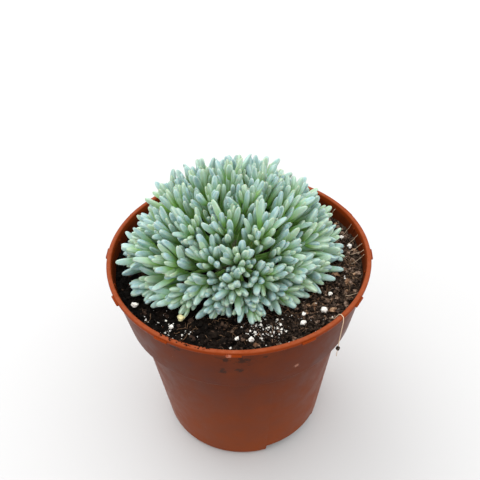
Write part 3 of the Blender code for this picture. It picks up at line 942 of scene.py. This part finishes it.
def inside_share(points, axes, margin):
    """Moves points back into their own shoot's share, clear of the soil and the pot's wall."""
    between = axes[None, :, :] - axes[:, None, :]
    length = np.linalg.norm(between, axis=2, keepdims=True)
    normals = between / np.where(length > 0, length, 1)
    for _ in range(6):
        beyond = np.einsum("slk,sok->slo", points, normals) + margin
        beyond[np.arange(len(axes)), :, np.arange(len(axes))] = -1
        worst = beyond.argmax(axis=2)
        excess = np.clip(np.take_along_axis(beyond, worst[:, :, None], axis=2), 0, None)
        points = points - excess * normals[np.arange(len(axes))[:, None], worst]
        flat = points[..., :2] + np.array(HEART.xy)
        away = np.linalg.norm(flat, axis=-1, keepdims=True)
        ground = soil_level(away[..., 0]) + CRUMB_HEIGHT + margin - HEART.z
        points[..., 2] = np.maximum(points[..., 2], ground)
        wall = COLLAR_TOP_RADIUS - WALL - RIB_REACH - margin
        points[..., :2] = flat * np.minimum(1, wall / away) - np.array(HEART.xy)
    return points


def leaf_tips(axes, rng):
    """Tips of every leaf from the heart, spread until they stand evenly over the cushion."""
    pair = np.arange(LEAVES) // 2
    age = pair / pair.max()
    spread = OLDEST_LEAF_SPREAD + age * (YOUNGEST_LEAF_SPREAD - OLDEST_LEAF_SPREAD)
    turn = pair * math.pi / 2 + (np.arange(LEAVES) % 2) * math.pi
    turn = turn[None, :] + rng.uniform(0, math.pi, (SHOOTS, 1)) + rng.normal(0, 0.25, (SHOOTS, LEAVES))
    side = np.cross(axes, OFF_AXIS)
    side /= np.linalg.norm(side, axis=1, keepdims=True)
    other = np.cross(axes, side)
    outward = np.cos(turn)[..., None] * side[:, None] + np.sin(turn)[..., None] * other[:, None]
    ray = np.cos(spread)[None, :, None] * axes[:, None] + np.sin(spread)[None, :, None] * outward
    tips = ray * cushion_radius(ray)[..., None]
    margin = LEAF_RADIUS + LEAF_RADIUS_DRAW + LEAF_GAP
    for _ in range(SPREADING_ROUNDS):
        tips = spread_apart(tips.reshape(-1, 3), TIP_SPACING).reshape(tips.shape)
        tips *= (cushion_radius(tips) / np.linalg.norm(tips, axis=2))[..., None]
        tips = inside_share(tips, axes, margin)
    tips *= 1 + rng.uniform(-1, 0.4, (SHOOTS, LEAVES, 1)) * TIP_DRAW / CREST_RADIUS
    for _ in range(8):
        tips = inside_share(tips, axes, margin)
    return tips


# %% Bows of the main leaves
def leaf_bows(tips, axes, reach, margin, curl, shift):
    """Three points of each leaf's bow: its root on the shoot's axis, its bend and its tip."""
    along = np.einsum("slk,sk->sl", tips, axes)
    middles = along[..., None] * axes[:, None]
    sway = tips - middles
    side = sway / np.maximum(np.linalg.norm(sway, axis=2, keepdims=True), 1e-6)
    below = tips * (1 - reach / np.linalg.norm(tips, axis=2))[..., None]
    roots = (along - reach)[..., None] * axes[:, None] + ROOT_OFFSET * side
    roots += shift[:, None] * (below - roots)
    bends = roots + 0.42 * (middles - (along - reach)[..., None] * axes[:, None]) + curl[..., None] * sway
    bends -= (shift[:, None] * 0.6) * sway
    for _ in range(3):
        bends = inside_share(bends, axes, margin)
    return np.stack([roots, bends, tips], axis=2)


rng = np.random.default_rng(SEED)
axes = shoot_axes(rng)
tips = leaf_tips(axes, rng)
main_reach = np.linspace(OLDEST_LEAF_REACH, YOUNGEST_LEAF_REACH, LEAVES)
main_radii = LEAF_RADIUS + rng.uniform(-1.6, 1, (SHOOTS, LEAVES)) * LEAF_RADIUS_DRAW
print("main leaves:", main_radii.size)

# %% [markdown]
# The solids hold only the main leaves. Between them the real cushion has more: older, lower leaves that
# close the gaps, and small pale ones in each shoot's heart. Each is put where there is most room, by
# trying many places and keeping the one farthest from the leaves that are there already.

# %% More leaves in the gaps
LOWER_LEAVES = 12
YOUNG_LEAVES = 5
TRIES = 90
LOWER_DEPTH = (0.0004, 0.0048)
LOWER_SPREAD = math.radians(19)
YOUNG_DEPTH = (0.0008, 0.0036)
YOUNG_SPREAD = math.radians(8)
GAP_MARGIN = 0.0014

grown = np.random.default_rng(SEED + 1)
taken = [tips[s, k] for s in range(SHOOTS) for k in range(LEAVES)]
extra_tips = np.zeros((SHOOTS, LOWER_LEAVES + YOUNG_LEAVES, 3))
for s in range(SHOOTS):
    side = np.cross(axes[s], OFF_AXIS)
    side /= np.linalg.norm(side)
    other = np.cross(axes[s], side)
    for k in range(LOWER_LEAVES + YOUNG_LEAVES):
        young = k >= LOWER_LEAVES
        depth_range = YOUNG_DEPTH if young else LOWER_DEPTH
        widest = YOUNG_SPREAD if young else LOWER_SPREAD
        angle = widest * np.sqrt(grown.random(TRIES))
        turn = grown.uniform(0, math.tau, TRIES)
        ray = np.cos(angle)[:, None] * axes[s] + np.sin(angle)[:, None] * (
            np.cos(turn)[:, None] * side + np.sin(turn)[:, None] * other
        )
        depth = grown.uniform(*depth_range, TRIES)
        spots = ray * (cushion_radius(ray) - depth)[:, None]
        spots = inside_share(np.repeat(spots[None], SHOOTS, axis=0), axes, GAP_MARGIN)[s]
        near = np.array(taken)
        room = np.linalg.norm(spots[:, None] - near[None], axis=2).min(axis=1)
        best = spots[room.argmax()]
        taken.append(best)
        extra_tips[s, k] = best
print("leaves in all:", len(taken))

# %% [markdown]
# A real cushion is never as even as a rule. Each shoot leans a little to one side and stands a little
# higher or lower than its neighbours, each leaf does the same within its shoot, and some leaves curl
# outwards at the tip while others stay straight. Some tufts reach farther over the soil and others stand
# back. The shoots also rise at their ends: below the surface every shoot bows down a little, so its leaves
# point upwards. A loosened leaf may leave its own share and run into a leaf of the next shoot.

# %% Loosen the cushion
SHOOT_SWAY = 0.0009
SHOOT_RISE = (-0.0018, 0.0013)
LEAF_SWAY = 0.0019
LEAF_RISE = (-0.0020, 0.0010)
CURL = (0.08, 0.60)
LOWER_CURL = (0.30, 0.85)
LOWER_REACH = 0.0115
LOWER_ROOT_SHIFT = 0.50
MAIN_ROOT_SHIFT = 0.10
YOUNG_REACH = 0.0080
TOP_SLENDERNESS = 0.20
LOBES = (
    (math.radians(-143), 0.0034, math.radians(16)),
    (math.radians(-42), 0.0034, math.radians(16)),
    (math.radians(24), -0.0016, math.radians(16)),
    (math.radians(62), 0.0018, math.radians(14)),
    (math.radians(166), -0.0018, math.radians(14)),
)
HEM_UNEVENNESS = 0.35
ASCENT = 0.36
TIP_CLEARANCE = 0.0022
BOW_MARGIN = 0.0010
MAIN_SLIMNESS = 0.98
LOWER_RADII = (0.00125, 0.00170)
YOUNG_RADII = (0.00095, 0.00140)


def ascend(points):
    """Bows the plant down below its surface, most on the slopes and not at the crest or the hem."""
    length = np.linalg.norm(points, axis=-1, keepdims=True)
    outward = points / np.maximum(length, 1e-6)
    surface = cushion_radius(outward)[..., None]
    depth = np.clip(surface - length, 0, None)
    upward = np.array([0.0, 0.0, 1.0]) - outward[..., 2:] * outward
    slope = 2 * outward[..., 2:] * np.linalg.norm(upward, axis=-1, keepdims=True)
    return points - ASCENT * slope * depth * (1 - depth / surface) * upward


all_tips = np.concatenate([tips, extra_tips], axis=1)
count = all_tips.shape[1]
outward = all_tips / np.linalg.norm(all_tips, axis=2, keepdims=True)
sway = grown.normal(0, SHOOT_SWAY, (SHOOTS, 1, 3)) + grown.normal(0, LEAF_SWAY, (SHOOTS, count, 3))
sway -= (sway * outward).sum(axis=2, keepdims=True) * outward
rise = grown.uniform(*SHOOT_RISE, (SHOOTS, 1, 1)) + grown.uniform(*LEAF_RISE, (SHOOTS, count, 1))
lowness = 1 - outward[..., 2:] ** 2
azimuth = np.arctan2(outward[..., 1:2], outward[..., 0:1])
for lobe_turn, lobe_reach, lobe_width in LOBES:
    from_lobe = np.angle(np.exp(1j * (azimuth - lobe_turn)))
    rise += lobe_reach * lowness * np.exp(-((from_lobe / lobe_width) ** 2))
rise *= 1 + HEM_UNEVENNESS * lowness**2
all_tips += sway + rise * outward
ground = soil_level(np.linalg.norm(all_tips[..., :2] + np.array(HEART.xy), axis=-1)) - HEART.z
all_tips[..., 2] = np.maximum(all_tips[..., 2], ground + TIP_CLEARANCE)
reaches = np.concatenate([main_reach, [LOWER_REACH] * LOWER_LEAVES, [YOUNG_REACH] * YOUNG_LEAVES])
curls = np.concatenate(
    [grown.uniform(*CURL, (SHOOTS, LEAVES)), grown.uniform(*LOWER_CURL, (SHOOTS, count - LEAVES))], axis=1
)
shifts = np.array([MAIN_ROOT_SHIFT] * LEAVES + [LOWER_ROOT_SHIFT] * LOWER_LEAVES + [0.0] * YOUNG_LEAVES)
bows = leaf_bows(all_tips, axes, reaches, BOW_MARGIN, curls, shifts)
bows[:, :, :2] = ascend(bows[:, :, :2])
slenderness = 1 - TOP_SLENDERNESS * np.clip(axes[:, 2:], 0, 1) ** 2
radii = slenderness * np.concatenate(
    [
        MAIN_SLIMNESS * main_radii,
        grown.uniform(*LOWER_RADII, (SHOOTS, LOWER_LEAVES)),
        grown.uniform(*YOUNG_RADII, (SHOOTS, YOUNG_LEAVES)),
    ],
    axis=1,
)
print("leaf radii, mm:", round(1000 * radii.min(), 2), "to", round(1000 * radii.max(), 2))

# %% [markdown]
# ### One finger leaf
# A leaf starts as a nine-sided ring that is pushed out station by station into a straight finger, a
# little thicker past its middle, with three soft ridges, a blunt end and a tiny point. Copies of it are
# then bent along their bows, so all leaves share the same few faces.

# %% The straight finger
FINGER_SIDES = 9
RIDGES = 3
RIDGE_SIZE = 0.12
FINGER_STATIONS = (
    (0.00, 0.68),
    (0.16, 0.84),
    (0.36, 0.96),
    (0.58, 1.00),
    (0.78, 0.96),
    (0.91, 0.79),
    (0.975, 0.47),
)
FINGER_POINT = 1.005

finger = bmesh.new()
ring = bmesh.ops.create_circle(
    finger, cap_ends=True, segments=FINGER_SIDES, radius=FINGER_STATIONS[0][1]
)["verts"]
first = end = ring[0].link_faces[0]
for (share_before, width_before), (share, width) in zip(FINGER_STATIONS, FINGER_STATIONS[1:]):
    grown_parts = bmesh.ops.extrude_face_region(finger, geom=[end])["geom"]
    if end != first:
        bmesh.ops.delete(finger, geom=[end], context="FACES_ONLY")
    end = next(part for part in grown_parts if isinstance(part, bmesh.types.BMFace))
    bmesh.ops.translate(finger, verts=end.verts[:], vec=(0, 0, share - share_before))
    bmesh.ops.scale(finger, verts=end.verts[:], vec=(width / width_before, width / width_before, 1))
for vert in finger.verts:
    swell = 1 + RIDGE_SIZE * math.cos(RIDGES * math.atan2(vert.co.y, vert.co.x))
    vert.co.xy *= swell
point = bmesh.ops.poke(finger, faces=[end])["verts"][0]
point.co.z = FINGER_POINT
bmesh.ops.recalc_face_normals(finger, faces=finger.faces)
finger_mesh = bpy.data.meshes.new("finger")
finger.to_mesh(finger_mesh)
print("faces in a leaf:", len(finger.faces))
finger.free()

# %% [markdown]
# ### Waxy leaf skin
# The leaves are water-filled and blue-green, and a bloom of wax makes them look powdery and pale where it
# is thick. The wax is thin at the base, where the leaf is yellow-green, and the very tip is a dry brown
# point. Each leaf carries four numbers on its points: how far along the leaf a point is, the leaf's own
# tone, how dry it is, and how near a ridge the point is. The last is for a painted highlight: the ridges
# are painted paler than the faces between them. The pores are drawn coarse enough to show.

# %% Leaf material
BLOOM_MM = 2.2
PORE_MM = 0.35

leaf_skin, tree, shader, place = start_material(
    "waxy_leaf_skin",
    Roughness=0.50,
    IOR=1.42,
    Subsurface_Weight=0.12,
    Subsurface_Scale=0.0015,
    Sheen_Weight=0.12,
    Sheen_Roughness=0.5,
)
growth = add(tree, "ShaderNodeAttribute", attribute_name="growth")
parts = add(tree, "ShaderNodeSeparateColor", {"Color": growth.outputs["Color"]})
along_leaf, leaf_tone, dryness = (parts.outputs[name] for name in ("Red", "Green", "Blue"))
bloom = add(tree, "ShaderNodeTexNoise", {"Vector": place, "Scale": 1000 / BLOOM_MM, "Detail": 3.0})
bloom_share = add(
    tree, "ShaderNodeMapRange", {"Value": bloom.outputs["Fac"], "From Min": 0.30, "From Max": 0.70}
)
blue_green = add(
    tree,
    "ShaderNodeMix",
    {0: bloom_share.outputs["Result"], 6: paint("#7a9d9c"), 7: paint("#9bb9bd")},
    data_type="RGBA",
)
toned = add(
    tree,
    "ShaderNodeMix",
    {0: leaf_tone, 6: blue_green.outputs[2], 7: paint("#9db588")},
    data_type="RGBA",
)
# Painted highlight: the leaf is paler near its ridges, where light would catch them.
ridge_highlight_share = add(
    tree,
    "ShaderNodeMapRange",
    {"Value": growth.outputs["Alpha"], "From Min": 0.40, "From Max": 1.0, "To Max": 0.65},
)
with_ridge_highlight = add(
    tree,
    "ShaderNodeMix",
    {0: ridge_highlight_share.outputs["Result"], 6: toned.outputs[2], 7: paint("#bdd3c6")},
    data_type="RGBA",
)
above_base = add(tree, "ShaderNodeMapRange", {"Value": along_leaf, "From Min": 0.36, "From Max": 0.85})
skin = add(
    tree,
    "ShaderNodeMix",
    {0: above_base.outputs["Result"], 6: paint("#78a54c"), 7: with_ridge_highlight.outputs[2]},
    data_type="RGBA",
)
at_point = add(
    tree, "ShaderNodeMapRange", {"Value": along_leaf, "From Min": 0.975, "From Max": 1.0, "To Max": 0.45}
)
pointed = add(
    tree,
    "ShaderNodeMix",
    {0: at_point.outputs["Result"], 6: skin.outputs[2], 7: paint("#97907a")},
    data_type="RGBA",
)
dried = add(
    tree,
    "ShaderNodeMix",
    {0: dryness, 6: pointed.outputs[2], 7: paint("#b3954e")},
    data_type="RGBA",
)
tree.links.new(dried.outputs[2], shader.inputs["Base Color"])
pores = add(tree, "ShaderNodeTexNoise", {"Vector": place, "Scale": 1000 / PORE_MM, "Detail": 2.0})
bump = add(tree, "ShaderNodeBump", {"Height": pores.outputs["Fac"], "Strength": 0.15, "Distance": 0.0001})
tree.links.new(bump.outputs["Normal"], shader.inputs["Normal"])

# %% [markdown]
# ### Bend the leaves and join them on their shoots
# A leaf is a little wider than it is thick. Its bow gives a point and a direction at each share of its
# length, and the finger's rings are set square to it. One subdivision rounds the finished shoot.

# %% Build the shoots
FLATTENING = 0.86
LEAF_ROLL = math.radians(25)
STEM_RADIUS = 0.0010
STEM_SINK = 0.0005
STEM_POINTS = 8
STEM_GROWTH = (0.3, 0.2, 0.0, 0.0)
DRY_LEAVES = 7
DRYNESS = 0.9
DRY_PLACE = LEAVES + 1
YELLOWEST = 0.7


def bow_frames(points, shares):
    """Centre, sideways and upward directions along a bow for each share of its length."""
    first, middle, last = points
    outward = last - first - (last - first).dot(first.normalized()) * first.normalized()
    frames = {}
    for share in shares:
        centre = (1 - share) ** 2 * first + 2 * share * (1 - share) * middle + share**2 * last
        direction = ((1 - share) * (middle - first) + share * (last - middle)).normalized()
        across = direction.cross(outward).normalized()
        up = across.cross(direction)
        frames[share] = (centre, across, up)
    return frames


def add_leaf(bm, points, radius, roll, tone, dry):
    """A copy of the straight finger, bent along its bow."""
    growth = bm.verts.layers.float_color["growth"]
    before = len(bm.verts)
    bm.from_mesh(finger_mesh)
    bm.verts.ensure_lookup_table()
    made = bm.verts[before:]
    frames = bow_frames(points, sorted({round(vert.co.z, 4) for vert in made}))
    for vert in made:
        share = round(vert.co.z, 4)
        centre, across, up = frames[share]
        # How near a ridge the point is, for the painted ridge highlight.
        ridge = 0.5 + 0.5 * math.cos(RIDGES * math.atan2(vert.co.y, vert.co.x))
        x, y = Matrix.Rotation(roll, 2) @ vert.co.xy
        vert.co = centre + HEART + radius * (x * across + FLATTENING * y * up)
        vert[growth] = (min(1.0, share), tone, dry, ridge)


tone_rng = np.random.default_rng(SEED + 2)
dry_choice = set(tone_rng.choice(SHOOTS, DRY_LEAVES, replace=False).tolist())
for s in range(SHOOTS):
    shoot_bm = bmesh.new()
    growth = shoot_bm.verts.layers.float_color.new("growth")
    top = float(np.linalg.norm(bows[s, :, 0], axis=1).max())
    stem = ascend(np.linspace(CROWN_RADIUS - STEM_SINK, top, STEM_POINTS)[:, None] * axes[s])
    stem_path = [HEART + Vector(place) for place in stem]
    add_strand(shoot_bm, stem_path, [2 * STEM_RADIUS] * STEM_POINTS, sides=8)
    for vert in shoot_bm.verts:
        vert[growth] = STEM_GROWTH
    for k in range(bows.shape[1]):
        points = [Vector(point) for point in bows[s, k]]
        dry = DRYNESS if s in dry_choice and k == DRY_PLACE else 0.0
        young = k >= LEAVES + LOWER_LEAVES
        tone = YELLOWEST if young else float(tone_rng.random()) ** 2 * YELLOWEST
        add_leaf(shoot_bm, points, float(radii[s, k]), LEAF_ROLL * tone_rng.normal(), tone, dry)
    bmesh.ops.recalc_face_normals(shoot_bm, faces=shoot_bm.faces)
    name = f"shoot_{s + 1:02d}"
    shoot = finish_piece(f"leafy_{name}", shoot_bm, [leaf_skin], [name])
    rounding = shoot.modifiers.new("rounding", "SUBSURF")
    rounding.levels = rounding.render_levels = 1
print("shoots:", SHOOTS)

# %% [markdown]
# ## Signs of handling
# A pale root hangs over the rim on the front right with a knot of soil near its end, fine roots climb the
# inside of the wall, and crumbs of soil lie on the lip.

# %% Root over the rim
ROOT_TURN = math.radians(-44.5)
ROOT_LEAN = math.radians(-5)
ROOT_WIDTHS = (0.00040, 0.00026)
ROOT_ROUTE = (
    (0.0462, 0.0846),
    (0.0486, 0.0862),
    (0.0504, 0.0897),
    (0.0515, 0.0905),
    (0.0527, 0.0903),
    (0.0532, 0.0885),
    (0.0531, 0.0850),
    (0.0530, 0.0800),
    (0.0531, 0.0755),
    (0.0533, 0.0718),
)
root_path = [
    around(ROOT_TURN + ROOT_LEAN * (k / len(ROOT_ROUTE)) ** 2, radius, height).translation
    for k, (radius, height) in enumerate(ROOT_ROUTE)
]
root_bm = bmesh.new()
add_strand(root_bm, root_path, np.linspace(*ROOT_WIDTHS, len(root_path)).tolist(), sides=6)
bmesh.ops.recalc_face_normals(root_bm, faces=root_bm.faces)
pale_root, _, _, _ = start_material("pale_dry_root", Base_Color=paint("#c4ab90"), Roughness=0.75)
finish_piece("root_over_rim", root_bm, [pale_root])
root_length = sum((there - here).length for here, there in zip(root_path, root_path[1:]))
print("root over the rim, mm:", round(1000 * root_length, 1))

# %% Fine roots at the wall and crumbs on the lip
WALL_ROOTS = 7
WALL_ROOT_TURNS = (math.radians(-30), math.radians(35))
WALL_ROOT_POINTS = 6
WALL_ROOT_WIDTH = 0.00020
WALL_ROOT_DRIFT = 0.05
WALL_ROOT_STARTS = (0.002, 0.005)
WALL_ROOT_FOOT = 0.0847
WALL_ROOT_RISE = (0.0030, 0.0040)
WALL_ROOT_GAP = 0.0003
LIP_CRUMBS = 30
LIP_CRUMB_SIZE = 0.0003
LIP_CRUMB_SIZE_RANGE = 0.0007
KNOT_SIZE = 0.0015
KNOT_POINT = 8
LIP_CRUMB_TURNS = (math.radians(-124), math.radians(-100))

wall_root_bm = bmesh.new()
for _ in range(WALL_ROOTS):
    turn = soil_rng.uniform(*WALL_ROOT_TURNS)
    drift = soil_rng.uniform(-WALL_ROOT_DRIFT, WALL_ROOT_DRIFT)
    low = SOIL_EDGE - soil_rng.uniform(*WALL_ROOT_STARTS)
    high = COLLAR_TOP_RADIUS - WALL - WALL_ROOT_GAP
    path = []
    for k in range(WALL_ROOT_POINTS):
        share = k / (WALL_ROOT_POINTS - 1)
        radius = low + share * (high - low)
        height = WALL_ROOT_FOOT + share**1.6 * soil_rng.uniform(*WALL_ROOT_RISE)
        path.append(around(turn + drift * share, radius, height).translation)
    add_strand(wall_root_bm, path, [WALL_ROOT_WIDTH] * WALL_ROOT_POINTS)
bmesh.ops.recalc_face_normals(wall_root_bm, faces=wall_root_bm.faces)
finish_piece("wall_roots", wall_root_bm, [pale_root])

lip_crumb_bm = bmesh.new()
add_grain(lip_crumb_bm, root_path[KNOT_POINT], KNOT_SIZE, 1.5, 4.0, subdivisions=2, roughness=0.15)
for index in range(LIP_CRUMBS):
    turn = soil_rng.uniform(*LIP_CRUMB_TURNS)
    size = LIP_CRUMB_SIZE + LIP_CRUMB_SIZE_RANGE * soil_rng.random() ** 2
    radius = soil_rng.uniform(LIP_INNER_RADIUS + 0.0002, LIP_RADIUS - 0.0004)
    centre = around(turn, radius, POT_HEIGHT + 0.25 * size).translation
    add_grain(lip_crumb_bm, centre, size, 0.6, 9 + index * 0.53)
print("crumbs on the lip:", LIP_CRUMBS)
finish_piece("lip_crumbs", lip_crumb_bm, [damp_peat], smooth=False)

# %% Finish
bpy.context.view_layer.update()
